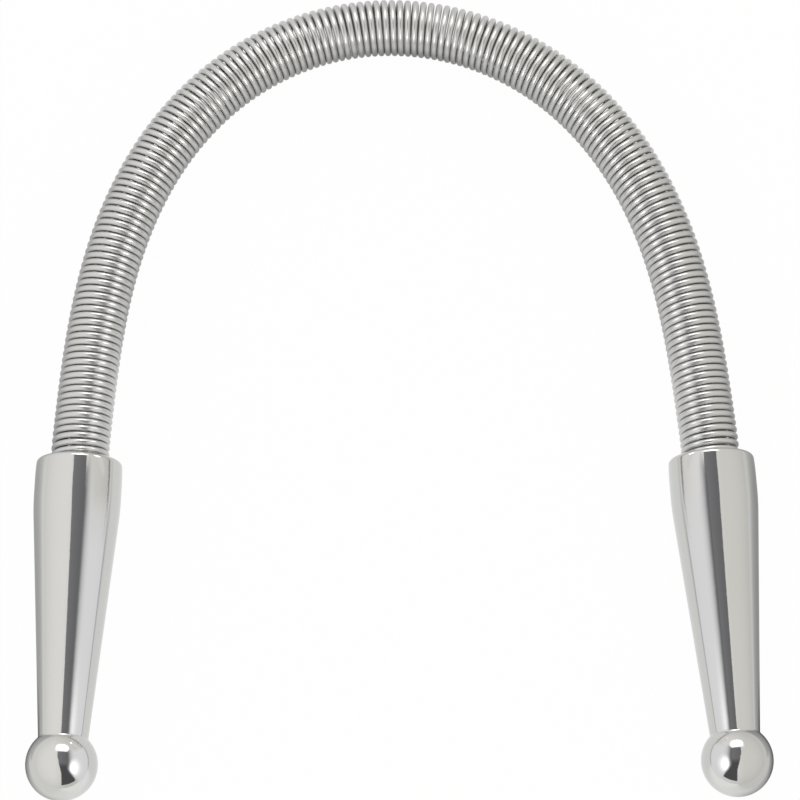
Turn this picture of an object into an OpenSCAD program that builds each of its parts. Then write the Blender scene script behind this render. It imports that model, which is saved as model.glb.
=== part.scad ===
// Spring facial hair remover: a close-wound spring bent into an arch between two turned handles.
// It lies on its back, with the arch's middle line along +Y and the handles' ball ends towards -Y.

/* [Spring] */
// Diameter of the spring's round wire
wire_d = 0.8; // [0.6:0.05:0.9]
// Outside diameter of the coil
coil_d = 7; // [6:0.1:8]
// Turns in the whole spring, with those inside the handles
turns = 186; // [150:2:200]
// Play between turns on the inner side of the bend
turn_gap = 0.02; // [0.01:0.01:0.05]

/* [Bend] */
// Outward lean of the left handle, in degrees
left_lean = 1.7; // [0:0.1:8]
// Outward lean of the right handle, in degrees
right_lean = 3.5; // [0:0.1:8]
// Bend of the spring where it leaves each handle, in degrees
mouth_bend = 3; // [0:0.5:5]
// Length of spring that takes the bend at the mouth
mouth_bend_len = 4; // [2:0.5:8]
// Length of spring above each mouth that the arch's own bend leaves straight
leg_len = 3.6; // [0:0.2:10]

/* [Handles] */
// Diameter of the handle at its widest
handle_d = 10.4; // [9.8:0.1:12]
// Swell of the handle's side, from its mouth out to its widest part
swell = 0.1; // [0.05:0.05:0.4]
// Distance from the mouth to the middle of the widest part
crown_z = 3.5; // [2.5:0.1:5]
// Length of the straight band at the widest part
band_len = 1.6; // [0.4:0.1:2]
// Diameter of the handle at its small end
small_end_d = 5.9; // [5.6:0.1:7]
// Length of the handle from its mouth to its small end
handle_len = 33.6; // [25:0.2:45]
// Radius of the rounded edge at the mouth
mouth_edge_r = 0.55; // [0.3:0.05:0.8]
// Radius of the rounded edge at the small end
small_edge_r = 0.25; // [0.1:0.05:0.4]
// Diameter of the ball at the handle's end
ball_d = 8.5; // [7.5:0.1:10]
// Distance of the neck, where the ball begins, inside the small end's edge
neck_inset = 0.1; // [0.05:0.05:0.4]

/* [Sockets] */
// Length of spring seated in each handle
seat_len = 6; // [4:0.5:10]
// Play between the coil and the wall of its socket
socket_play = 0.05; // [0.02:0.01:0.1]
// Play between the spring's end and the floor of its socket
floor_play = 0.1; // [0.05:0.05:0.3]
// Width of the bevel at the socket's mouth
socket_bevel = 0.3; // [0.1:0.05:0.5]

/* [Hidden] */

steel = [0.80, 0.80, 0.78];
wire_steel = [0.74, 0.74, 0.72];

// Faces to a circle where a curve is drawn as a mesh
facets = 32;
// Steps of a rounded edge, and of the curve on either side of the widest part
edge_steps = 8;
crown_steps = 4;

// Coil: radius to the wire's middle, spacing of the turns where they touch, and half turns in all
coil_r = (coil_d - wire_d) / 2;
turn_pitch = wire_d + turn_gap;
half_turns = 2 * turns;

function radians(degrees) = degrees * PI / 180;
function within(v, low, high) = max(low, min(high, v));
function smooth_step(t) = t * t * (3 - 2 * t);

// Length from the apex to the mouth of the handle whose lean is given, along the spring's middle
function mouth_length(lean) = turns * turn_pitch / 2 + coil_r * radians(90 - lean) - seat_len;

// Degrees by which the spring points below level at the length s from the apex, less than 0 on the left:
// a quarter sine over the arch, then a straight leg, then the bend at the mouth
function drop(s) =
    let (
        lean = s < 0 ? left_lean : right_lean,
        to_mouth = mouth_length(lean),
        arch = sin(90 * min(1, abs(s) / (to_mouth - leg_len))),
        bend = smooth_step(within((abs(s) - to_mouth + mouth_bend_len) / mouth_bend_len, 0, 1))
    )
    sign(s) * ((90 - lean - mouth_bend) * arch + mouth_bend * bend);

// Length along the middle at which the inner side, where turns touch, has the length u
function middle_length(u, s, rounds) =
    rounds < 1 ? s : middle_length(u, u + coil_r * radians(drop(s)), rounds - 1);
solve_rounds = 10;

function step_along(a, b) = let (d = drop((a + b) / 2)) (b - a) * [cos(d), -sin(d)];

// Lengths and middle points of the spring at each half turn, from the left end to the right end
lengths = [for (k = [0 : half_turns])
    let (u = (k - turns) * turn_pitch / 2) middle_length(u, u, solve_rounds)];
from_left = [for (k = 0, p = [0, 0]; k <= half_turns;
    p = p + step_along(lengths[k], lengths[min(k + 1, half_turns)]), k = k + 1) p];

// Handle lengths: the ball meets the small end in a circle of the neck's radius
handle_r = handle_d / 2;
small_end_r = small_end_d / 2;
ball_r = ball_d / 2;
ball_z = handle_len + sqrt(pow(ball_r, 2) - pow(small_end_r - neck_inset, 2));

// Point on the axis of a handle that leans outward by the angle, so far from where it starts;
// side is -1 for the left handle and 1 for the right one
function along_handle(start, side, lean, length) = start + length * [side * sin(lean), -cos(lean)];

// The arch is placed with the balls the same way out on both sides, and with its middle at the height 0
apex_up = from_left[turns].y;
left_ball = along_handle(from_left[0], -1, left_lean, ball_z - seat_len);
right_ball = along_handle(from_left[half_turns], 1, right_lean, ball_z - seat_len);
shift = [
    -(left_ball.x + right_ball.x) / 2,
    -(apex_up + coil_d / 2 + min(left_ball.y, right_ball.y) - ball_r) / 2
];
middles = [for (p = from_left) p + shift];
left_mouth = along_handle(middles[0], -1, left_lean, -seat_len);
right_mouth = along_handle(middles[half_turns], 1, right_lean, -seat_len);

// The wire crosses the arch's plane on the outer side at even half turns and on the inner side at odd ones
function crossing(k) =
    middles[k] + (k % 2 == 0 ? coil_r : -coil_r) * [sin(drop(lengths[k])), cos(drop(lengths[k]))];

// Every half turn is the same half ring, so only its place and its heading change
ring_r = round(norm([2 * coil_r, turn_pitch / 2]) * 5000) / 10000;

// Headings are taken at the nearest angle whose cosine and sine are short decimals that still make
// a vector of length 1, so that the end of one half ring meets the start of the next exactly
heading_decimals = 1000000;
heading_tries = 300;
heading_step = 0.0001;
function short_unit(a) = [round(cos(a) * heading_decimals), round(sin(a) * heading_decimals)] / heading_decimals;
function heading(from, to) =
    let (
        a = atan2(to.y - from.y, to.x - from.x),
        tries = [for (i = [-heading_tries : heading_tries]) short_unit(a + i * heading_step)],
        slips = [for (t = tries) abs(norm(t) - 1)]
    )
    tries[search(min(slips), slips)[0]];

half_rings = [for (
    k = 0, p = crossing(0), h = heading(p, crossing(1));
    k < half_turns;
    k = k + 1, p = p + 2 * ring_r * h, h = heading(p, crossing(min(k + 1, half_turns)))
) [p, h]];

// Socket for the spring's end
socket_d = coil_d + 2 * socket_play;
socket_depth = seat_len + wire_d / 2 + floor_play;
// Rise of the cutter past the mouth, so that the socket opens cleanly
cut_past = 1;

// Half of a turn: it rises over the spring when it heads for the inner side, and dips when it heads back.
// Its place is given in two parts, so that each is a short decimal too.
module half_ring(k) {
    start = half_rings[k][0];
    to = half_rings[k][1];
    middle = start + ring_r * to;
    coarse = [for (v = middle) round(v * 100) / 100];
    side = k % 2 == 0 ? 1 : -1;
    translate([coarse.x, coarse.y, handle_r]) translate(middle - coarse)
        multmatrix([[to.x, 0, side * to.y, 0], [to.y, 0, -side * to.x, 0], [0, side, 0, 0]])
            rotate_extrude(angle = 180, $fn = facets)
                translate([ring_r, 0]) circle(d = wire_d, $fn = facets);
}

module bent_coil() {
    for (k = [0 : half_turns - 1]) half_ring(k);
}

// Handle outline, as [radius, distance from the mouth]. It swells from the mouth to a straight band,
// then curves into a straight taper. Both curves have the radius crown_r.
low_z = crown_z - band_len / 2;
high_z = crown_z + band_len / 2;
crown_r = (pow(low_z, 2) + pow(swell, 2)) / (2 * swell);
crown_x = handle_r - crown_r;

// The taper leaves the upper curve at this angle and passes through the small end's corner
taper = atan2(handle_len - high_z, small_end_r - crown_x)
    - acos(crown_r / norm([handle_len - high_z, small_end_r - crown_x]));

// Middles of the rounded edges, each of which touches its face and the curve or the taper
mouth_rise = asin((low_z - mouth_edge_r) / (crown_r - mouth_edge_r));
mouth_edge = [crown_x + (crown_r - mouth_edge_r) * cos(mouth_rise), mouth_edge_r];
small_edge_z = handle_len - small_edge_r;
small_edge = [
    crown_x + (crown_r - small_edge_r - (small_edge_z - high_z) * sin(taper)) / cos(taper),
    small_edge_z
];

// Points of an arc after its first one
function arc(middle, r, from, to, steps) =
    [for (i = [1 : steps]) let (a = from + (to - from) * i / steps) middle + r * [cos(a), sin(a)]];

handle_outline = concat(
    [[0, 0], [mouth_edge.x, 0]],
    arc(mouth_edge, mouth_edge_r, -90, -mouth_rise, edge_steps),
    arc([crown_x, low_z], crown_r, -mouth_rise, 0, crown_steps),
    [[handle_r, high_z]],
    arc([crown_x, high_z], crown_r, 0, taper, crown_steps),
    [small_edge + small_edge_r * [cos(taper), sin(taper)]],
    arc(small_edge, small_edge_r, taper, 90, edge_steps),
    [[0, handle_len]]
);

module turned_body() {
    rotate_extrude($fn = facets) polygon(handle_outline);
    translate([0, 0, ball_z]) sphere(d = ball_d, $fn = facets);
}

module socket() {
    translate([0, 0, -cut_past]) {
        cylinder(d = socket_d, h = socket_depth + cut_past, $fn = facets);
        cylinder(
            d1 = socket_d + 2 * (socket_bevel + cut_past),
            d2 = socket_d,
            h = socket_bevel + cut_past,
            $fn = facets
        );
    }
}

// One handle, with its mouth's middle at the point given and its ball end turned by the angle from -Y
module handle(mouth, angle) {
    translate([mouth.x, mouth.y, handle_r]) rotate([90, 0, angle])
        difference() {
            turned_body();
            socket();
        }
}

module coil_spring() {
    color(wire_steel) bent_coil();
}

module left_handle() {
    color(steel) handle(left_mouth, -left_lean);
}

module right_handle() {
    color(steel) handle(right_mouth, right_lean);
}

coil_spring();
left_handle();
right_handle();
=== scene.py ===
"""Spring facial hair remover, dressed for its studio picture.

The coil of wire and the two turned handles are worked out as surfaces from the same sizes as the
solids, finished in bright steel, and laid on a white table in a white tent.
"""

import logging
import math
from dataclasses import dataclass, field
from enum import Enum

import bpy
import numpy as np
from mathutils import Matrix, Vector


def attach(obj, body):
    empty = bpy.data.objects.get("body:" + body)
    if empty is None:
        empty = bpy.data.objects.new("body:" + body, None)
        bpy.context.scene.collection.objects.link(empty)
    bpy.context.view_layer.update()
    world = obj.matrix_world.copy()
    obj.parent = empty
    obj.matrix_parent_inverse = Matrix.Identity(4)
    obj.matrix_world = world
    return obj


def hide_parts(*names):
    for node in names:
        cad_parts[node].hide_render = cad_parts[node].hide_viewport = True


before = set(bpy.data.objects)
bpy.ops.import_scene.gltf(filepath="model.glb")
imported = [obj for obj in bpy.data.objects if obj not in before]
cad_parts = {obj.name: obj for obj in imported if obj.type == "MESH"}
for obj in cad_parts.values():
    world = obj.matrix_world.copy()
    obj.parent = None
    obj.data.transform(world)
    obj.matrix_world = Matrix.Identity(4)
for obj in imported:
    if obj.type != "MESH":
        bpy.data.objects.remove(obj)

log = logging.getLogger("hair_remover")

MM = 0.001
WHITE = (1.0, 1.0, 1.0)
SURFACE_UV = "surface"
ONE_SHEET = np.array([[0, 1, 2, 3]])


class Side(Enum):
    """The side of the arch that a handle is on; the value is its direction along X."""

    LEFT = -1
    RIGHT = 1


class Slot(Enum):
    """The record's material slots."""

    STEEL = "polished_steel"
    WIRE = "spring_wire"


# Shader expressions


@dataclass(frozen=True)
class Edge:
    """A soft edge of a mask: the middle of its ramp and half the ramp's width."""

    at: float
    soft: float


class Shade:
    """A node socket that takes part in Python sums, so that an expression adds its Math nodes."""

    def __init__(self, tree: bpy.types.NodeTree, socket: bpy.types.NodeSocket) -> None:
        """Wraps one output socket of a node tree."""
        self.tree = tree
        self.socket = socket

    def maths(self, operation: str, *values: "Shade | float", clamp: bool = False) -> "Shade":
        """Adds a Math node.

        Args:
            operation: Blender's name of the operation.
            values: its inputs, in order.
            clamp: whether the result is kept between 0 and 1.

        Returns:
            The node's result.
        """
        settings = {"operation": operation, "use_clamp": clamp}
        return add_node(self.tree, "ShaderNodeMath", settings, list(values))

    def __add__(self, other: "Shade | float") -> "Shade":
        """Sum of the two."""
        return self.maths("ADD", self, other)

    __radd__ = __add__

    def __sub__(self, other: "Shade | float") -> "Shade":
        """This less the other."""
        return self.maths("SUBTRACT", self, other)

    def __rsub__(self, other: "Shade | float") -> "Shade":
        """The other less this."""
        return self.maths("SUBTRACT", other, self)

    def __mul__(self, other: "Shade | float") -> "Shade":
        """Product of the two."""
        return self.maths("MULTIPLY", self, other)

    __rmul__ = __mul__

    def __abs__(self) -> "Shade":
        """Size of this, without its sign."""
        return self.maths("ABSOLUTE", self)

    def root(self) -> "Shade":
        """Square root of this."""
        return self.maths("SQRT", self)

    def at_most(self, other: "Shade | float") -> "Shade":
        """The smaller of the two."""
        return self.maths("MINIMUM", self, other)

    def at_least(self, other: "Shade | float") -> "Shade":
        """The larger of the two."""
        return self.maths("MAXIMUM", self, other)

    def within(self, edge: "Shade | float", soft: float) -> "Shade":
        """1 where this is well under the edge, 0 where it is well over it, with a straight ramp between.

        Args:
            edge: the value at the middle of the ramp.
            soft: half the width of the ramp.

        Returns:
            The mask: (edge + soft - this) / (2 soft), kept between 0 and 1.
        """
        return self.maths("DIVIDE", edge + soft - self, 2 * soft, clamp=True)

    def under(self, edge: Edge) -> "Shade":
        """Mask of 1 where this is under a soft edge."""
        return self.within(edge.at, edge.soft)

    def past(self, edge: Edge) -> "Shade":
        """Mask of 1 where this is past a soft edge."""
        return 1.0 - self.under(edge)

    def spread(self, low: float, high: float) -> "Shade":
        """A value from 0 to 1 stretched between two numbers."""
        return self * (high - low) + low


def add_node(
    tree: bpy.types.NodeTree,
    kind: str,
    settings: dict[str, object] | None = None,
    inputs: "list | dict | None" = None,
    output: int | str = 0,
) -> Shade:
    """Adds any node, sets it up and links it.

    Args:
        tree: the tree that takes the node.
        kind: the node's Blender type.
        settings: its properties, which are set first; "stops" holds a ramp's (place, grey) pairs.
        inputs: values or links of its sockets, in order or by name; None leaves a socket as it is.
        output: which output is wanted.

    Returns:
        The wanted output.
    """
    node = tree.nodes.new(kind)
    for name, value in (settings or {}).items():
        if name == "stops":
            set_ramp(node.color_ramp.elements, value)
        else:
            setattr(node, name, value)
    given = inputs.items() if isinstance(inputs, dict) else enumerate(inputs or [])
    for key, value in given:
        if isinstance(value, Shade):
            tree.links.new(value.socket, node.inputs[key])
        elif value is not None:
            node.inputs[key].default_value = value
    return Shade(tree, node.outputs[output])


def set_ramp(ramp: bpy.types.ColorRampElements, stops: tuple[tuple[float, float], ...]) -> None:
    """Gives a colour ramp its stops.

    Args:
        ramp: the ramp's elements.
        stops: (place, grey) of each stop, in order.
    """
    while len(ramp) > 1:
        ramp.remove(ramp[-1])
    for i, (place, grey) in enumerate(stops):
        stop = ramp[0] if i == 0 else ramp.new(place)
        stop.position = place
        stop.color = (grey, grey, grey, 1)


def place_mm(tree: bpy.types.NodeTree, axes: str) -> list[Shade]:
    """Object coordinates in millimetres.

    Args:
        tree: the tree that takes the nodes.
        axes: the axes wanted, such as "XY".

    Returns:
        One value an axis.
    """
    place = add_node(tree, "ShaderNodeTexCoord", output="Object")
    return [add_node(tree, "ShaderNodeSeparateXYZ", inputs=[place], output=axis) * (1 / MM) for axis in axes]


def noise(tree: bpy.types.NodeTree, place: Shade, scale: float, detail: float, roughness: float) -> Shade:
    """Noise from 0 to 1.

    Args:
        tree: the tree that takes the node.
        place: where it is looked up.
        scale: how many of its lumps there are to a unit of place.
        detail: how many finer layers it has.
        roughness: how strong each finer layer is.

    Returns:
        The noise.
    """
    inputs = {"Vector": place, "Scale": scale, "Detail": detail, "Roughness": roughness}
    return add_node(tree, "ShaderNodeTexNoise", inputs=inputs)


def bump(
    tree: bpy.types.NodeTree,
    height: Shade,
    depth_mm: float,
    strength: float,
    over: Shade | None = None,
) -> Shade:
    """A normal turned by small heights.

    Args:
        tree: the tree that takes the node.
        height: the height, from 0 to 1.
        depth_mm: what the height 1 stands for.
        strength: share of the turn that is taken.
        over: the normal that is turned, or the surface's own.

    Returns:
        The turned normal.
    """
    inputs = {"Strength": strength, "Distance": depth_mm * MM, "Height": height, "Normal": over}
    return add_node(tree, "ShaderNodeBump", inputs=inputs, output="Normal")


def mix_colours(
    tree: bpy.types.NodeTree,
    share: Shade,
    first: "tuple[float, float, float] | Shade",
    second: tuple[float, float, float],
) -> Shade:
    """Mixes two colours.

    Args:
        tree: the tree that takes the node.
        share: share of the second colour.
        first: colour at the share 0.
        second: colour at the share 1.

    Returns:
        The mixed colour.
    """
    start = first if isinstance(first, Shade) else (*first, 1)
    inputs = {0: share, 6: start, 7: (*second, 1)}
    return add_node(tree, "ShaderNodeMix", {"data_type": "RGBA"}, inputs, output=2)


def scale_colour(
    tree: bpy.types.NodeTree, colour: "tuple[float, float, float] | Shade", level: Shade
) -> Shade:
    """A colour times a level that changes from place to place."""
    return add_node(tree, "ShaderNodeVectorMath", {"operation": "SCALE"}, {0: colour, "Scale": level})


def glow(tree: bpy.types.NodeTree, colour: tuple[float, float, float], level: Shade) -> Shade:
    """Light of one colour whose level changes from place to place.

    Args:
        tree: the tree that takes the nodes.
        colour: colour at the level 1.
        level: how bright it is.

    Returns:
        An emission shader of strength 1 with the colour times the level.
    """
    inputs = {"Color": scale_colour(tree, colour, level), "Strength": 1.0}
    return add_node(tree, "ShaderNodeEmission", inputs=inputs)


def even_glow(tree: bpy.types.NodeTree, level: float) -> Shade:
    """White light that is equally bright all over."""
    return add_node(tree, "ShaderNodeEmission", inputs={"Color": (*WHITE, 1), "Strength": level})


def see_through(tree: bpy.types.NodeTree, share: Shade, light: Shade) -> Shade:
    """A light that shows by its share, from 0 to 1, and is clear for the rest."""
    clear = add_node(tree, "ShaderNodeBsdfTransparent")
    return add_node(tree, "ShaderNodeMixShader", inputs=[share, clear, light])


def bare_metal(
    tree: bpy.types.NodeTree,
    colour: tuple[float, float, float],
    dark_share: float,
    bright: Shade,
    roughness: Shade,
    normal: Shade,
) -> Shade:
    """Bare metal with slightly darker patches.

    Args:
        tree: the tree that takes the nodes.
        colour: its colour where it is brightest.
        dark_share: share of that colour left where it is darkest.
        bright: how bright it is from place to place, from 0 to 1.
        roughness: its roughness.
        normal: its normal.

    Returns:
        The shader.
    """
    dark = tuple(dark_share * c for c in colour)
    tint = mix_colours(tree, bright, dark, colour)
    inputs = {"Base Color": tint, "Metallic": 1.0, "Roughness": roughness, "Normal": normal}
    return add_node(tree, "ShaderNodeBsdfPrincipled", inputs=inputs)


def new_material(name: str) -> bpy.types.Material:
    """Makes a material that uses nodes.

    Args:
        name: its name.

    Returns:
        The material, with no node yet.
    """
    material = bpy.data.materials.new(name)
    material.use_nodes = True
    material.node_tree.nodes.clear()
    return material


def close_tree(tree: bpy.types.NodeTree, surface: Shade, kind: str = "ShaderNodeOutputMaterial") -> None:
    """Links a shader to the output of its tree.

    Args:
        tree: the tree.
        surface: its last shader.
        kind: the output node's type.
    """
    output = tree.nodes.new(kind)
    tree.links.new(surface.socket, output.inputs["Surface"])


# Finishes


@dataclass(frozen=True)
class TurnedSteel:
    """Steel turned on a lathe and polished until only hair-fine rings are left.

    The rings follow the length along the profile, which the mesh holds in millimetres in V. The other
    scales are lumps to a metre.
    """

    colour: tuple[float, float, float] = (0.63, 0.63, 0.615)
    dark_share: float = 0.96
    tint_scale: float = 90.0
    roughness: tuple[float, float] = (0.05, 0.10)
    smear_scale: float = 260.0
    ring_depth_mm: float = 0.0004
    ring_strength: float = 0.35
    rings_per_mm: float = 9.0
    wave_depth_mm: float = 0.004
    wave_scale: float = 1100.0

    def make(self) -> bpy.types.Material:
        """Builds the material.

        Returns:
            A metal whose roughness varies with faint smears and whose bump is the turning rings over
            waves too shallow to see but for the wander that they give to reflections.
        """
        material = new_material("turned_steel")
        tree = material.node_tree
        place = add_node(tree, "ShaderNodeTexCoord", output="Object")
        surface = add_node(tree, "ShaderNodeUVMap", {"uv_map": SURFACE_UV})
        along = add_node(tree, "ShaderNodeSeparateXYZ", inputs=[surface], output="Y")
        ring_inputs = {"W": along, "Scale": self.rings_per_mm, "Detail": 3.0, "Roughness": 0.6}
        rings = add_node(tree, "ShaderNodeTexNoise", {"noise_dimensions": "1D"}, ring_inputs)
        smears = noise(tree, place, self.smear_scale, 4.0, 0.55)
        patches = noise(tree, place, self.tint_scale, 2.0, 0.5)
        waves = noise(tree, place, self.wave_scale, 1.0, 0.4)
        wavy = bump(tree, waves, self.wave_depth_mm, 1.0)
        ringed = bump(tree, rings, self.ring_depth_mm, self.ring_strength, wavy)
        roughness = smears.spread(*self.roughness)
        close_tree(tree, bare_metal(tree, self.colour, self.dark_share, patches, roughness, ringed))
        return material


@dataclass(frozen=True)
class DrawnWire:
    """Bright spring wire, with small dents and the faint lengthwise lines that its die leaves.

    U goes round the wire and V along it, both in millimetres, and the scales are lumps to a millimetre.
    """

    colour: tuple[float, float, float] = (0.63, 0.63, 0.62)
    dark_share: float = 0.9
    patch_scale: float = 0.45
    roughness: tuple[float, float] = (0.25, 0.35)
    line_scale: tuple[float, float, float] = (14.0, 0.35, 1.0)
    line_depth_mm: float = 0.0025
    line_strength: float = 0.5
    dent_scale: float = 1.5
    dent_depth_mm: float = 0.016

    def make(self) -> bpy.types.Material:
        """Builds the material.

        Returns:
            A metal with die lines and dents in its bump and slightly duller patches along its length.
        """
        material = new_material("drawn_wire")
        tree = material.node_tree
        place = add_node(tree, "ShaderNodeUVMap", {"uv_map": SURFACE_UV})
        stretch = {0: place, 1: self.line_scale}
        stretched = add_node(tree, "ShaderNodeVectorMath", {"operation": "MULTIPLY"}, stretch)
        lines = noise(tree, stretched, 1.0, 3.0, 0.6)
        patches = noise(tree, place, self.patch_scale, 3.0, 0.6)
        dents = noise(tree, place, self.dent_scale, 2.0, 0.5)
        dented = bump(tree, dents, self.dent_depth_mm, 1.0)
        lined = bump(tree, lines, self.line_depth_mm, self.line_strength, dented)
        roughness = patches.spread(*self.roughness)
        close_tree(tree, bare_metal(tree, self.colour, self.dark_share, patches, roughness, lined))
        return material


# Meshes


def mesh_object(
    name: str,
    points: np.ndarray,
    faces: list[np.ndarray],
    surface: np.ndarray,
    material: bpy.types.Material,
) -> bpy.types.Object:
    """Puts arrays into a smooth-shaded mesh with a UV map in millimetres.

    Args:
        name: the object's name.
        points: vertices in millimetres, one row each.
        faces: arrays of vertex numbers, one row a face, in the same winding.
        surface: U and V of each corner, in the order of the faces.
        material: its finish.

    Returns:
        The object, linked to the scene at the origin.
    """
    sizes = np.concatenate([np.full(len(f), f.shape[1]) for f in faces])
    corners = np.concatenate([f.ravel() for f in faces]).astype(np.int32)
    starts = np.concatenate([[0], np.cumsum(sizes)[:-1]]).astype(np.int32)
    mesh = bpy.data.meshes.new(name)
    mesh.vertices.add(len(points))
    mesh.vertices.foreach_set("co", (points * MM).astype(np.float32).ravel())
    mesh.loops.add(len(corners))
    mesh.loops.foreach_set("vertex_index", corners)
    mesh.polygons.add(len(sizes))
    mesh.polygons.foreach_set("loop_start", starts)
    mesh.polygons.foreach_set("use_smooth", np.ones(len(sizes), dtype=bool))
    mesh.update(calc_edges=True)
    layer = mesh.uv_layers.new(name=SURFACE_UV)
    layer.data.foreach_set("uv", surface.astype(np.float32).ravel())
    mesh.validate()
    mesh.materials.append(material)
    piece = bpy.data.objects.new(name, mesh)
    bpy.context.scene.collection.objects.link(piece)
    return piece


def grid_faces(rows: int, columns: int) -> np.ndarray:
    """Four-cornered faces of a grid whose columns close into a ring.

    Args:
        rows: rings of vertices.
        columns: vertices in a ring.

    Returns:
        One face a row: (i, j), (i, j + 1), (i + 1, j + 1), (i + 1, j), with j + 1 taken round the ring.
    """
    i, j = np.meshgrid(np.arange(rows - 1), np.arange(columns), indexing="ij")
    k = (j + 1) % columns
    this, after = i * columns, (i + 1) * columns
    return np.stack([this + j, this + k, after + k, after + j], axis=-1).reshape(-1, 4)


def grid_uv(along: np.ndarray, around: np.ndarray) -> np.ndarray:
    """U and V of the corners of grid_faces.

    Args:
        along: V of each row.
        around: U of each column, and once more where the ring closes.

    Returns:
        One row a face: four corners of (U, V).
    """
    i, j = np.meshgrid(np.arange(len(along) - 1), np.arange(len(around) - 1), indexing="ij")
    u = np.stack([around[j], around[j + 1], around[j + 1], around[j]], axis=-1)
    v = np.stack([along[i], along[i], along[i + 1], along[i + 1]], axis=-1)
    return np.stack([u, v], axis=-1).reshape(-1, 4, 2)


def fan_faces(pole: int, first: np.ndarray, second: np.ndarray) -> np.ndarray:
    """Triangles from a pole to the sides of a ring.

    Args:
        pole: number of the pole's vertex.
        first: number of each triangle's second vertex.
        second: number of its third vertex.

    Returns:
        One face a row.
    """
    return np.stack([np.full(len(first), pole), first, second], axis=1)


def fan_uv(first: np.ndarray, second: np.ndarray, step: float, tip: float, rim: float) -> np.ndarray:
    """U and V of the corners of fan_faces.

    Args:
        first: column of each triangle's second vertex.
        second: column of its third vertex.
        step: width of a column in U.
        tip: V at the pole.
        rim: V at the ring.

    Returns:
        One row a corner.
    """
    u = np.stack([(first + second) / 2, first, second], axis=1) * step
    v = np.tile([tip, rim, rim], (len(first), 1))
    return np.stack([u, v], axis=-1).reshape(-1, 2)


def along_path(points: np.ndarray) -> np.ndarray:
    """Length from the first point of a path to each of its points."""
    steps = np.linalg.norm(np.diff(points, axis=0), axis=1)
    return np.concatenate([[0.0], np.cumsum(steps)])


def unit_rows(rows: np.ndarray) -> np.ndarray:
    """Each row over its own length."""
    return rows / np.linalg.norm(rows, axis=1, keepdims=True)


def arc(middle: tuple[float, float], r: float, start: float, end: float, steps: int) -> np.ndarray:
    """Points of an arc of a circle.

    Args:
        middle: the circle's middle.
        r: its radius.
        start: first angle in degrees.
        end: last angle in degrees.
        steps: how many chords.

    Returns:
        middle + r (cos a, sin a) for angles evenly from start to end.
    """
    a = np.radians(np.linspace(start, end, steps + 1))
    return np.array(middle) + r * np.stack([np.cos(a), np.sin(a)], axis=1)


# The tool


@dataclass
class Arch:
    """The line that the middle of the spring follows, in millimetres, worked out as the solids do it.

    The spring points below level by a quarter sine of its length over the arch, then runs straight,
    then bends a little at the mouth of each handle.
    """

    wire_d: float = 0.8
    coil_d: float = 7.0
    turns: int = 186
    turn_gap: float = 0.02
    left_lean: float = 1.7
    right_lean: float = 3.5
    mouth_bend: float = 3.0
    mouth_bend_len: float = 4.0
    leg_len: float = 3.6
    seat_len: float = 6.0
    height: float = 5.2
    steps_per_turn: int = 40
    solve_rounds: int = 12

    @property
    def coil_r(self) -> float:
        """Radius of the coil at the middle of its wire."""
        return (self.coil_d - self.wire_d) / 2

    @property
    def pitch(self) -> float:
        """Spacing of the turns on the inner side."""
        return self.wire_d + self.turn_gap

    def drop(self, s: np.ndarray) -> np.ndarray:
        """Angle of the spring below level.

        Args:
            s: length from the apex along the middle, less than 0 on the left.

        Returns:
            The angle in radians, less than 0 on the left: the arch's share times the sine of a quarter
            turn, plus the mouth's bend times 3 t squared less 2 t cubed over its length.
        """
        lean = np.where(s < 0, self.left_lean, self.right_lean)
        to_mouth = self.turns * self.pitch / 2 + self.coil_r * np.radians(90 - lean) - self.seat_len
        arch = np.sin(np.pi / 2 * np.minimum(1, np.abs(s) / (to_mouth - self.leg_len)))
        t = np.clip((np.abs(s) - to_mouth + self.mouth_bend_len) / self.mouth_bend_len, 0, 1)
        bend = t * t * (3 - 2 * t)
        return np.sign(s) * np.radians((90 - lean - self.mouth_bend) * arch + self.mouth_bend * bend)

    def line(self, ball_reach: float, ball_r: float) -> tuple[np.ndarray, np.ndarray, np.ndarray]:
        """The middle line, placed on the table.

        The balls lie the same way out on both sides, and the tool's middle lies at y = 0.

        Args:
            ball_reach: length from the spring's end to the middle of a ball.
            ball_r: radius of a ball.

        Returns:
            Points (x, y), the angle below level at each, and the turns counted from the left end.
        """
        count = self.turns * self.steps_per_turn
        turn = np.arange(count + 1) / self.steps_per_turn
        inner = (turn - self.turns / 2) * self.pitch
        s = inner.copy()
        for _ in range(self.solve_rounds):
            s = inner + self.coil_r * self.drop(s)
        middle = self.drop((s[1:] + s[:-1]) / 2)
        steps = np.diff(s)[:, None] * np.stack([np.cos(middle), -np.sin(middle)], axis=1)
        points = np.concatenate([[[0.0, 0.0]], np.cumsum(steps, axis=0)])
        left_ball = points[0] + ball_reach * handle_way(Side.LEFT, self.left_lean)
        right_ball = points[-1] + ball_reach * handle_way(Side.RIGHT, self.right_lean)
        top = points[count // 2][1] + self.coil_d / 2
        foot = min(left_ball[1], right_ball[1]) - ball_r
        shift = np.array([-(left_ball[0] + right_ball[0]) / 2, -(top + foot) / 2])
        return points + shift, self.drop(s), turn


def handle_way(side: Side, lean: float) -> np.ndarray:
    """Direction (x, y) from the mouth of a handle to its ball, for its lean in degrees."""
    a = math.radians(lean)
    return np.array([side.value * math.sin(a), -math.cos(a)])


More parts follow.
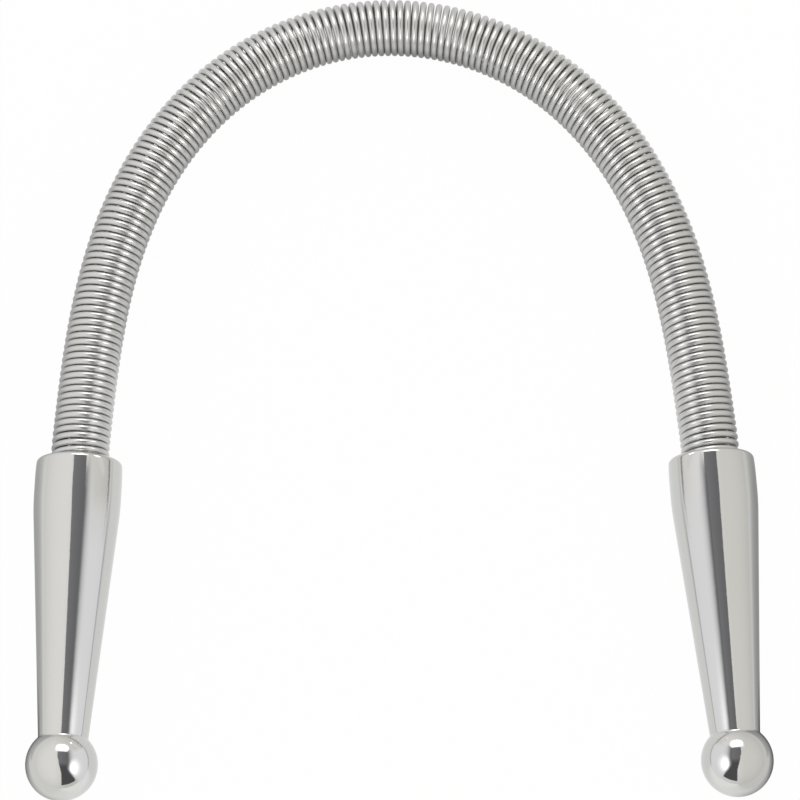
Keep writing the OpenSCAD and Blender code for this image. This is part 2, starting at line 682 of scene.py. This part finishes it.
@dataclass
class CoilSpring:
    """One length of round wire, wound close along the arch."""

    arch: Arch
    wire_sides: int = 12

    def wire(self, points: np.ndarray, drop: np.ndarray, turn: np.ndarray) -> tuple[np.ndarray, np.ndarray]:
        """The middle of the wire.

        Args:
            points: the arch's middle line.
            drop: its angle below level.
            turn: turns counted from the left end.

        Returns:
            The arch's point plus the coil's radius times (cos a outward + sin a up), where a is the
            turn as an angle, and that direction from the arch's point to the wire.
        """
        a = 2 * np.pi * turn
        outward = np.stack([np.sin(drop), np.cos(drop), np.zeros_like(drop)], axis=1)
        up = np.array([0.0, 0.0, 1.0])
        radial = np.cos(a)[:, None] * outward + np.sin(a)[:, None] * up
        middle = np.concatenate([points, np.full((len(points), 1), self.arch.height)], axis=1)
        return middle + self.arch.coil_r * radial, radial

    def make(
        self, points: np.ndarray, drop: np.ndarray, turn: np.ndarray, finish: bpy.types.Material
    ) -> bpy.types.Object:
        """Sweeps the wire's circle along the coil.

        The circle lies across the wire's own direction, with its first axis along the line from the
        arch's point to the wire.

        Args:
            points: the arch's middle line.
            drop: its angle below level.
            turn: turns counted from the left end.
            finish: the wire's material.

        Returns:
            The wire, closed at both ends.
        """
        wire, radial = self.wire(points, drop, turn)
        ahead = unit_rows(np.gradient(wire, axis=0))
        across = unit_rows(radial - np.sum(radial * ahead, axis=1, keepdims=True) * ahead)
        beside = np.cross(ahead, across)
        b = 2 * np.pi * np.arange(self.wire_sides) / self.wire_sides
        r = self.arch.wire_d / 2
        spokes = np.cos(b)[:, None] * across[:, None] + np.sin(b)[:, None] * beside[:, None]
        ring = wire[:, None] + r * spokes
        rows, columns = ring.shape[:2]
        vertices = np.concatenate([ring.reshape(-1, 3), wire[[0, -1]]])
        j = np.arange(columns)
        k = (j + 1) % columns
        last = (rows - 1) * columns
        first_end = fan_faces(rows * columns, k, j)
        last_end = fan_faces(rows * columns + 1, last + j, last + k)
        around = np.arange(columns + 1) * 2 * np.pi * r / columns
        ends_uv = np.zeros((3 * len(first_end) + 3 * len(last_end), 2))
        uv = np.concatenate([grid_uv(along_path(wire), around).reshape(-1, 2), ends_uv])
        faces = [grid_faces(rows, columns), first_end, last_end]
        return mesh_object("spring_wire", vertices, faces, uv, finish)


@dataclass
class Handle:
    """A turned handle: a swelling at the mouth, a straight taper, a ball, and a bore for the spring.

    Sizes are in millimetres. Beside each sharp edge of the bore lies a row of points at the distance
    crease, which keeps its shading crisp.
    """

    side: Side
    lean: float
    handle_d: float = 10.4
    swell: float = 0.1
    crown_z: float = 3.5
    band_len: float = 1.6
    small_end_d: float = 5.9
    handle_len: float = 33.6
    mouth_edge_r: float = 0.55
    ball_d: float = 8.5
    neck_inset: float = 0.1
    neck_r: float = 0.4
    bore_d: float = 7.1
    bore_depth: float = 6.5
    bevel: float = 0.3
    crease: float = 0.03
    segments: int = 128
    edge_steps: int = 14
    crown_steps: int = 10
    taper_steps: int = 25
    neck_steps: int = 10
    ball_steps: int = 56

    @property
    def ball_z(self) -> float:
        """Distance from the mouth to the middle of the ball."""
        neck = self.small_end_d / 2 - self.neck_inset
        return self.handle_len + math.sqrt((self.ball_d / 2) ** 2 - neck**2)

    def bore_outline(self) -> np.ndarray:
        """The profile of the bore from the middle of its floor to the handle's face.

        Returns:
            (radius, distance from the mouth) of each point, in millimetres.
        """
        bore, near = self.bore_d / 2, self.crease
        return np.array([
            [0.0, self.bore_depth],
            [bore - near, self.bore_depth],
            [bore, self.bore_depth],
            [bore, self.bore_depth - near],
            [bore, self.bevel + near],
            [bore, self.bevel],
            [bore + near, self.bevel - near],
            [bore + self.bevel - near, near],
            [bore + self.bevel, 0.0],
            [bore + self.bevel + near, 0.0],
        ])

    def neck(self, crown: tuple[float, float], crown_r: float, slope: float) -> tuple[np.ndarray, float]:
        """The hollow rounding between the taper and the ball.

        Its middle lies outside the taper by the hollow's radius, and from the ball's middle by the
        ball's radius and the hollow's together.

        Args:
            crown: middle of the arc that the taper touches.
            crown_r: that arc's radius.
            slope: angle of the taper in radians.

        Returns:
            The points of the hollow, from the taper to the ball, and the angle on the ball in
            degrees where it ends.
        """
        out = np.array([math.cos(slope), math.sin(slope)])
        ahead = np.array([-math.sin(slope), math.cos(slope)])
        ball = np.array([0.0, self.ball_z])
        from_ball = np.array(crown) + (crown_r + self.neck_r) * out - ball
        along = float(from_ball @ ahead)
        reach = self.ball_d / 2 + self.neck_r
        run = -along - math.sqrt(along**2 - float(from_ball @ from_ball) + reach**2)
        to_hollow = from_ball + run * ahead
        on_ball = math.degrees(math.atan2(to_hollow[1], to_hollow[0]))
        middle = tuple(to_hollow + ball)
        return arc(middle, self.neck_r, math.degrees(slope) + 180, on_ball + 180, self.neck_steps), on_ball

    def outline(self) -> np.ndarray:
        """The whole profile from the floor of the bore round the mouth to the far side of the ball.

        The swelling is two arcs of one radius either side of a straight band; the taper touches the
        second arc and passes through the small end's corner; the mouth's rounded edge touches its
        faces, and a small hollow touches the taper and the ball.

        Returns:
            (radius, distance from the mouth) of each point, in millimetres.
        """
        low, high = self.crown_z - self.band_len / 2, self.crown_z + self.band_len / 2
        crown_r = (low**2 + self.swell**2) / (2 * self.swell)
        crown_x = self.handle_d / 2 - crown_r
        far = (self.handle_len - high, self.small_end_d / 2 - crown_x)
        slope = math.atan2(*far) - math.acos(crown_r / math.hypot(*far))
        rise = math.asin((low - self.mouth_edge_r) / (crown_r - self.mouth_edge_r))
        edge = (crown_x + (crown_r - self.mouth_edge_r) * math.cos(rise), self.mouth_edge_r)
        rise_degrees = math.degrees(rise)
        hollow, on_ball = self.neck((crown_x, high), crown_r, slope)
        upper = arc((crown_x, high), crown_r, 0, math.degrees(slope), self.crown_steps)
        start, end = upper[-1], hollow[0]
        share = np.linspace(0, 1, self.taper_steps + 1)[1:-1, None]
        return np.concatenate([
            self.bore_outline(),
            arc(edge, self.mouth_edge_r, -90, -rise_degrees, self.edge_steps),
            arc((crown_x, low), crown_r, -rise_degrees, 0, self.crown_steps)[1:],
            upper,
            start + share * (end - start),
            hollow,
            arc((0.0, self.ball_z), self.ball_d / 2, on_ball, 90, self.ball_steps)[1:],
        ])

    def make(self, mouth: np.ndarray, height: float, finish: bpy.types.Material) -> bpy.types.Object:
        """Turns the profile about the handle's axis.

        A point at the angle b is mouth + z along the axis + r (cos b across + sin b up). The first
        and last rows, which lie on the axis, are single points.

        Args:
            mouth: middle of the mouth, (x, y) in millimetres.
            height: height of the axis.
            finish: the material.

        Returns:
            The closed handle.
        """
        profile = self.outline()
        axis = np.append(handle_way(self.side, self.lean), 0.0)
        across = np.array([-axis[1], axis[0], 0.0])
        up = np.array([0.0, 0.0, 1.0])
        b = 2 * np.pi * np.arange(self.segments) / self.segments
        spokes = np.cos(b)[:, None] * across + np.sin(b)[:, None] * up
        origin = np.append(mouth, height)
        radii, lengths = profile[1:-1, 0][:, None, None], profile[1:-1, 1][:, None, None]
        ring = origin + lengths * axis + radii * spokes
        rows, columns = ring.shape[:2]
        poles = origin + profile[[0, -1], 1][:, None] * axis
        vertices = np.concatenate([ring.reshape(-1, 3), poles])
        j = np.arange(columns)
        k = (j + 1) % columns
        last = (rows - 1) * columns
        first_cap = fan_faces(rows * columns, j, k)
        last_cap = fan_faces(rows * columns + 1, last + k, last + j)
        step = np.pi * self.handle_d / columns
        length = along_path(profile)
        side_uv = grid_uv(length[1:-1], np.arange(columns + 1) * step)[:, ::-1].reshape(-1, 2)
        first_uv = fan_uv(j, j + 1, step, length[0], length[1])
        last_uv = fan_uv(j + 1, j, step, length[-1], length[-2])
        name = f"{self.side.name.lower()}_turned_handle"
        faces = [grid_faces(rows, columns)[:, ::-1], first_cap, last_cap]
        return mesh_object(name, vertices, faces, np.concatenate([side_uv, first_uv, last_uv]), finish)


@dataclass
class HairRemover:
    """The whole tool: the coil of wire and its two handles."""

    arch: Arch = field(default_factory=Arch)

    def build(self) -> list[bpy.types.Object]:
        """Makes every piece and hands it to its body.

        Returns:
            The pieces.
        """
        steel, wire = TurnedSteel().make(), DrawnWire().make()
        left = Handle(Side.LEFT, self.arch.left_lean)
        right = Handle(Side.RIGHT, self.arch.right_lean)
        points, drop, turn = self.arch.line(left.ball_z - self.arch.seat_len, left.ball_d / 2)
        spring = CoilSpring(self.arch).make(points, drop, turn, wire)
        self.settle(spring, "coil_spring", Slot.WIRE)
        made = [spring]
        for handle, end in ((left, points[0]), (right, points[-1])):
            mouth = end - self.arch.seat_len * handle_way(handle.side, handle.lean)
            piece = handle.make(mouth, self.arch.height, steel)
            self.settle(piece, f"{handle.side.name.lower()}_handle", Slot.STEEL)
            made.append(piece)
        return made

    @staticmethod
    def settle(piece: bpy.types.Object, node: str, slot: Slot) -> None:
        """Rides a piece on the tool's one body, in place of its solid.

        Args:
            piece: the new piece.
            node: the solid that it stands for.
            slot: the material slot that it takes its finish from; not used.
        """
        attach(piece, "root")
        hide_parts(node)


# Studio


def flat_mesh(
    name: str, points: np.ndarray, faces: np.ndarray, material: bpy.types.Material
) -> bpy.types.Object:
    """A plain mesh of the studio.

    Args:
        name: the object's name.
        points: its vertices in millimetres, one row each.
        faces: its faces, one row each.
        material: its finish.

    Returns:
        The object, linked to the scene at the origin.
    """
    mesh = bpy.data.meshes.new(name)
    mesh.from_pydata((points * MM).tolist(), [], faces.tolist())
    mesh.materials.append(material)
    thing = bpy.data.objects.new(name, mesh)
    bpy.context.scene.collection.objects.link(thing)
    return thing


def hang_card(
    name: str, points: np.ndarray, faces: np.ndarray, material: bpy.types.Material
) -> bpy.types.Object:
    """Hangs a card over the table that only shiny surfaces show, so that it stands in no view's way.

    Args:
        name: the card's name.
        points: its vertices in millimetres, one row each.
        faces: its faces, one row each.
        material: what it shines like.

    Returns:
        The card.
    """
    card = flat_mesh(name, points, faces, material)
    card.visible_camera = False
    card.visible_diffuse = False
    card.visible_transmission = False
    card.visible_shadow = False
    return card


@dataclass(frozen=True)
class Panel:
    """A level card of light over the table, with soft edges; its sizes are in millimetres."""

    name: str
    middle: tuple[float, float, float]
    half: tuple[float, float]
    level: float
    soft: float = 3.0

    def hang(self) -> bpy.types.Object:
        """Hangs the panel.

        Its light is full in the middle and fades over the soft edge to nothing.

        Returns:
            The panel.
        """
        material = new_material(self.name)
        tree = material.node_tree
        x, y = place_mm(tree, "XY")
        across = abs(x - self.middle[0]).within(self.half[0], self.soft)
        along = abs(y - self.middle[1]).within(self.half[1], self.soft)
        close_tree(tree, see_through(tree, across * along, even_glow(tree, self.level)))
        reach = np.array(self.half) + self.soft
        corners = np.array([[-1, -1], [1, -1], [1, 1], [-1, 1]]) * reach + self.middle[:2]
        points = np.column_stack([corners, np.full(4, self.middle[2])])
        return hang_card(self.name, points, ONE_SHEET, material)


@dataclass(frozen=True)
class Flag:
    """An upright card as bright as the tent, which hides the panels from the handles and the balls.

    It spans half its width either side of x = 0, in millimetres.
    """

    y: float = 1.0
    half_width: float = 16.0
    low: float = 19.5
    high: float = 28.2
    level: float = 0.93

    def hang(self) -> bpy.types.Object:
        """Hangs the flag.

        Returns:
            The flag.
        """
        material = new_material("flag")
        close_tree(material.node_tree, even_glow(material.node_tree, self.level))
        corners = [(-1, self.low), (1, self.low), (1, self.high), (-1, self.high)]
        points = np.array([[side * self.half_width, self.y, z] for side, z in corners])
        return hang_card("flag", points, ONE_SHEET, material)


@dataclass(frozen=True)
class Slit:
    """The slit in the white tent that the camera looks through, dim above and dark in front.

    Each row is (y, z, left edge, right edge) in millimetres, from behind the top down to the front.
    """

    rows: tuple[tuple[float, float, float, float], ...] = (
        (110.0, 250.0, -80.0, 72.0),
        (50.0, 250.0, -78.0, 72.0),
        (7.0, 250.0, -72.5, 70.5),
        (-7.0, 250.0, -66.5, 66.5),
        (-16.0, 250.0, -62.5, 65.0),
        (-27.0, 250.0, -58.0, 60.5),
        (-60.0, 200.0, -52.0, 52.0),
        (-88.0, 155.0, -42.0, 42.0),
        (-110.0, 87.0, -32.0, 32.0),
        (-128.0, 24.0, -36.0, 36.0),
    )
    dim: float = 0.23
    fall_per_mm: float = 0.0005
    dark: float = 0.105
    dark_front: Edge = Edge(-75.0, 15.0)
    colour: tuple[float, float, float] = (0.98, 0.98, 1.04)

    def hang(self) -> bpy.types.Object:
        """Hangs the slit as a strip of card, two points to a row.

        Its light is dim less x times the fall, and goes over to dark past the edge in front.

        Returns:
            The strip.
        """
        material = new_material("slit")
        tree = material.node_tree
        x, y = place_mm(tree, "XY")
        above = self.dim - x * self.fall_per_mm
        level = above - y.under(self.dark_front) * (above - self.dark)
        close_tree(tree, glow(tree, self.colour, level))
        rows = np.array(self.rows)
        points = np.stack([rows[:, [2, 0, 1]], rows[:, [3, 0, 1]]], axis=1).reshape(-1, 3)
        first = 2 * np.arange(len(rows) - 1)[:, None]
        return hang_card("slit", points, first + np.array([[0, 1, 3, 2]]), material)


@dataclass(frozen=True)
class Screen:
    """A white screen that stands upright between the handles and is brightest by the balls.

    It is dim at its top, so that the slit's reflection has a soft edge on the handles' inner sides,
    and at its foot. It reaches further back above than it does below. Its steps are (height, light),
    with the height as a share of full_height. Sizes are in millimetres.
    """

    front: float = -92.0
    front_fade: float = 8.0
    back: tuple[float, float] = (-6.0, 18.0)
    back_fade: float = 6.0
    back_step: Edge = Edge(50.0, 10.0)
    low: float = 0.2
    high: float = 104.0
    colour: tuple[float, float, float] = (0.985, 0.985, 1.01)
    level: float = 1.06
    full_height: float = 100.0
    steps: tuple[tuple[float, float], ...] = (
        (0.0, 0.96),
        (0.20, 1.0),
        (0.40, 1.0),
        (0.476, 0.94),
        (0.54, 0.87),
        (0.616, 0.74),
        (0.71, 0.55),
        (0.83, 0.28),
        (0.92, 0.19),
    )
    foot_top: Edge = Edge(3.2, 1.2)
    foot_front: Edge = Edge(-50.0, 6.0)
    foot_dim: float = 0.42
    spot: tuple[float, float] = (-64.0, 49.0)
    spot_reach: float = 37.0
    spot_level: float = 2.6

    def hang(self) -> bpy.types.Object:
        """Stands the screen in the plane of x = 0.

        Its light is a ramp over its height, less the foot's dim, plus the spot's: the square of 1 less
        the distance from the spot's middle over its reach.

        Returns:
            The screen.
        """
        material = new_material("screen")
        tree = material.node_tree
        y, z = place_mm(tree, "YZ")
        ramp = add_node(tree, "ShaderNodeValToRGB", {"stops": self.steps}, {0: z * (1 / self.full_height)})
        dy, dz = y - self.spot[0], z - self.spot[1]
        near = (dy * dy + dz * dz).root().within(self.spot_reach / 2, self.spot_reach / 2)
        foot = z.under(self.foot_top) * y.past(self.foot_front)
        level = ramp * self.level - foot * self.foot_dim + near * near * self.spot_level
        end = z.past(self.back_step).spread(*self.back)
        there = y.within(end - self.back_fade, self.back_fade)
        there = there * y.past(Edge(self.front + self.front_fade, self.front_fade))
        close_tree(tree, see_through(tree, there, glow(tree, self.colour, level)))
        front, back, low, high = self.front, self.back[1], self.low, self.high
        points = np.array([[0, front, low], [0, back, low], [0, back, high], [0, front, high]])
        return hang_card("screen", points, ONE_SHEET, material)


@dataclass(frozen=True)
class Table:
    """The white table; sizes are in millimetres.

    To the eye it is a matt white that keeps the shadow, mixed with plain white light. In reflections
    it is a little less bright and carries painted light: painted shadow beside the outer sides of the
    handles, legs and balls, painted shade along the screen's foot, round the inside of the arch and at
    the far right, and a painted pool of light before the balls. Each patch has its soft edges, across X
    or by a distance, its front or back along Y, and its dim.
    """

    half_side: float = 3000.0
    matt: tuple[float, float, float] = (0.93, 0.93, 0.93)
    matt_roughness: float = 0.5
    seen_share: float = 0.97
    mirrored_share: float = 0.85
    level: float = 0.93
    outer_side: Edge = Edge(40.0, 2.0)
    handle_reach: Edge = Edge(68.0, 20.0)
    handle_front: Edge = Edge(-41.0, 2.0)
    handle_dim: float = 0.5
    leg_front: Edge = Edge(-5.0, 4.0)
    leg_dim: float = 0.35
    ball: tuple[float, float] = (39.5, -43.0)
    ball_reach: Edge = Edge(13.0, 8.0)
    ball_front: Edge = Edge(-52.0, 5.0)
    ball_dim: float = 0.9
    foot_reach: Edge = Edge(8.0, 5.0)
    foot_front: Edge = Edge(-30.0, 12.0)
    foot_dim: float = 0.18
    arch_middle: float = 8.0
    arch_inner: Edge = Edge(27.0, 5.0)
    arch_outer: Edge = Edge(36.5, 1.5)
    arch_front: Edge = Edge(4.0, 4.0)
    arch_dim: float = 0.45
    right_side: Edge = Edge(44.0, 4.0)
    right_dim: float = 0.12
    pool_reach: Edge = Edge(38.0, 10.0)
    pool_back: Edge = Edge(-52.0, 3.0)
    pool_lift: float = 0.22

    def painted_shadow_beside_tool(self, x: Shade, y: Shade) -> Shade:
        """Painted shadow beside the outer sides of the tool, seen on the table in reflections.

        Args:
            x: place across, in millimetres.
            y: place along.

        Returns:
            The deeper of the handles' and legs' patch and the balls', past the tool's outer side.
        """
        share = y.past(self.leg_front).spread(self.handle_dim, self.leg_dim)
        # painted shadow of the handles and legs on the table
        painted_shadow_by_handles = abs(x).under(self.handle_reach) * y.past(self.handle_front) * share
        # painted shadow of the balls on the table
        out, ahead = abs(x) - self.ball[0], y - self.ball[1]
        from_ball = (out * out + ahead * ahead).root()
        painted_shadow_by_balls = from_ball.under(self.ball_reach) * y.past(self.ball_front) * self.ball_dim
        return painted_shadow_by_handles.at_least(painted_shadow_by_balls) * abs(x).past(self.outer_side)

    def painted_shade_inside_arch(self, x: Shade, y: Shade) -> Shade:
        """Band of painted shade round the inside of the arch, under the coil.

        Args:
            x: place across, in millimetres.
            y: place along.

        Returns:
            The band's dim between two distances from the arch's middle.
        """
        ahead = y - self.arch_middle
        radius = (x * x + ahead * ahead).root()
        # painted shade on the table under the inside of the coil
        band = radius.under(self.arch_outer) * radius.past(self.arch_inner)
        return band * y.past(self.arch_front) * self.arch_dim

    def mirrored_level(self, x: Shade, y: Shade) -> Shade:
        """How bright the table is in reflections.

        Args:
            x: place across, in millimetres.
            y: place along.

        Returns:
            The plain level less every patch of painted shade, plus the painted pool of light before the
            balls.
        """
        # painted shade along the screen's foot
        foot = abs(x).under(self.foot_reach) * y.past(self.foot_front) * self.foot_dim
        # painted shade at the far right of the table
        right = x.past(self.right_side) * self.right_dim
        # painted pool of light before the balls
        pool = abs(x).under(self.pool_reach) * y.under(self.pool_back) * self.pool_lift
        return self.level - self.painted_shadow_beside_tool(x, y) - self.painted_shade_inside_arch(x, y) - foot - right + pool

    def lay(self) -> bpy.types.Object:
        """Lays the table.

        Returns:
            The table.
        """
        material = new_material("white_table")
        tree = material.node_tree
        matt_inputs = {"Color": (*self.matt, 1), "Roughness": self.matt_roughness}
        matt = add_node(tree, "ShaderNodeBsdfDiffuse", inputs=matt_inputs)
        seen = add_node(tree, "ShaderNodeLightPath", output="Is Camera Ray")
        mirrored = add_node(tree, "ShaderNodeLightPath", output="Is Glossy Ray")
        through = add_node(tree, "ShaderNodeLightPath", output="Is Transmission Ray")
        x, y = place_mm(tree, "XY")
        bright = glow(tree, WHITE, seen + (1.0 - seen) * self.mirrored_level(x, y))
        share = (seen * self.seen_share + (mirrored + through) * self.mirrored_share).at_most(1.0)
        close_tree(tree, add_node(tree, "ShaderNodeMixShader", inputs=[share, matt, bright]))
        corners = np.array([[-1, -1, 0], [1, -1, 0], [1, 1, 0], [-1, 1, 0]])
        table = flat_mesh("table", corners * self.half_side, ONE_SHEET, material)
        return table


@dataclass(frozen=True)
class Sky:
    """The white tent over the table, a little warmer and dimmer on its right side."""

    left: tuple[float, float, float] = (1.09, 1.075, 1.065)
    right: tuple[float, float, float] = (0.93, 0.913, 0.872)
    middle: Edge = Edge(0.0, 0.3)
    horizon_fall: float = 0.17

    def light(self) -> None:
        """Lights the world with the tent.

        It goes from the left colour to the right one within a third of its width, and dims by the
        square of 1 less the direction's height. Seen straight or through something clear it is plain
        white; shiny surfaces mirror the tent itself, which is about as white.
        """
        world = bpy.data.worlds.new("sky")
        bpy.context.scene.world = world
        world.use_nodes = True
        tree = world.node_tree
        tree.nodes.clear()
        way = add_node(tree, "ShaderNodeTexCoord", output="Generated")
        x, z = (add_node(tree, "ShaderNodeSeparateXYZ", inputs=[way], output=axis) for axis in "XZ")
        low = 1.0 - z.at_least(0.0)
        sides = mix_colours(tree, x.under(self.middle), self.right, self.left)
        tent = scale_colour(tree, sides, 1.0 - low * low * self.horizon_fall)
        seen = add_node(tree, "ShaderNodeLightPath", output="Is Camera Ray")
        through = add_node(tree, "ShaderNodeLightPath", output="Is Transmission Ray")
        colour = mix_colours(tree, seen.at_least(through), tent, WHITE)
        background = add_node(tree, "ShaderNodeBackground", inputs={"Color": colour, "Strength": 1.0})
        close_tree(tree, background, "ShaderNodeOutputWorld")


@dataclass(frozen=True)
class Studio:
    """White table in a white tent, with a slit for the camera, a soft lamp behind the arch and cards.

    The two small panels make the second line of light along the inner side of the coil.
    """

    sky: Sky = Sky()
    table: Table = Table()
    cards: tuple[Slit | Screen | Flag | Panel, ...] = (
        Slit(),
        Screen(),
        Flag(),
        Panel("lamp", (0.0, 292.0, 300.0), (76.0, 72.0), 8.2, 82.0),
        Panel("legs_panel", (-4.0, 12.0, 28.0), (9.0, 6.0), 6.5),
        Panel("arch_panel", (1.0, 29.5, 28.0), (6.0, 4.5), 2.2),
    )

    def build(self) -> list[bpy.types.Object]:
        """Lights the tent and sets up everything round the tool.

        Returns:
            The table and the cards.
        """
        self.sky.light()
        return [self.table.lay(), *(card.hang() for card in self.cards)]


@dataclass(frozen=True)
class Camera:
    """The camera of the picture: it looks down at the arch from the side of the ball ends."""

    look_at_mm: tuple[float, float, float] = (-0.03, -1.48, 5.2)
    elevation: float = 73.7
    distance_mm: float = 416.0
    lens_mm: float = 155.25
    sensor_mm: float = 36.0
    roll: float = 0.12
    nearest: float = 0.01
    farthest: float = 20.0

    def place(self) -> bpy.types.Object:
        """Makes the camera and gives it to the scene.

        Returns:
            The camera, turned so that -Z points at its mark and +Y is up in the picture.
        """
        data = bpy.data.cameras.new("camera")
        data.lens = self.lens_mm
        data.sensor_width = self.sensor_mm
        data.clip_start = self.nearest
        data.clip_end = self.farthest
        camera = bpy.data.objects.new("camera", data)
        bpy.context.scene.collection.objects.link(camera)
        tilt = math.radians(self.elevation)
        back = Vector((0.0, -math.cos(tilt), math.sin(tilt)))
        spot = Vector(self.look_at_mm) * MM + back * self.distance_mm * MM
        turn = back.to_track_quat("Z", "Y").to_matrix().to_4x4()
        roll = Matrix.Rotation(math.radians(self.roll), 4, "Z")
        camera.matrix_world = Matrix.Translation(spot) @ turn @ roll
        bpy.context.scene.camera = camera
        return camera


def main() -> None:
    """Builds the tool, then the studio."""
    logging.basicConfig(level=logging.INFO, format="%(message)s")
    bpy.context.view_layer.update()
    for piece in HairRemover().build():
        log.info("%s: %d faces", piece.name, len(piece.data.polygons))
    for thing in Studio().build():
        log.info("%s in place", thing.name)
    log.info("%s placed", Camera().place().name)
    bpy.context.scene.view_settings.view_transform = "Standard"


if __name__ == "__main__":
    main()
